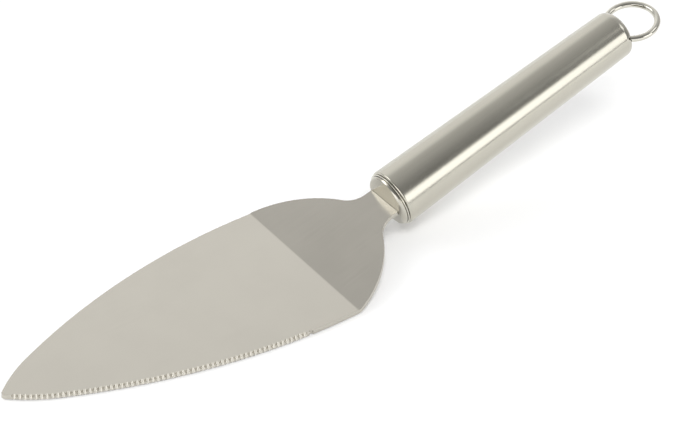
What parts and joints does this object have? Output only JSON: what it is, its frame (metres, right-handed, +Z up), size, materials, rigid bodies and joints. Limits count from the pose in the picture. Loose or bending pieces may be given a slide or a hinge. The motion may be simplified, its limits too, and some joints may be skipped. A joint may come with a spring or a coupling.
{
  "type": "cake server",
  "caption": "Cake server with a flat leaf-shaped blade serrated along one edge, an upward crank, a round tapered tube handle and a hanging ring",
  "frame": {"origin": "Below the middle of the whole length, on the plane of the blade's flat underside", "axes": "+X runs from the blade's tip to the hanging ring, +Z is up with the blade's underside flat on z = 0, and the serrated edge is on the -Y side"},
  "size_m": [0.2796, 0.0624, 0.0543],
  "materials": {
    "brushed_sheet": "brushed",
    "satin_bolster": "satin",
    "polished_trim": "polished",
    "satin_tube": "satin",
    "satin_cap": "satin",
    "polished_wire": "polished"
  },
  "bodies": {
    "server": {"blade": "brushed_sheet", "bolster": "satin_bolster", "collar_ring": "polished_trim", "handle_tube": "satin_tube", "end_cap": "satin_cap"},
    "ring": {"hanging_ring": "polished_wire"}
  },
  "joints": [
    {"name": "ring_swing", "type": "hinge", "parent": "server", "child": "ring", "pos_m": [0.12011, 0, 0.04603], "axis": [0, 1, 0], "range_deg": [-28, 20]}
  ]
}
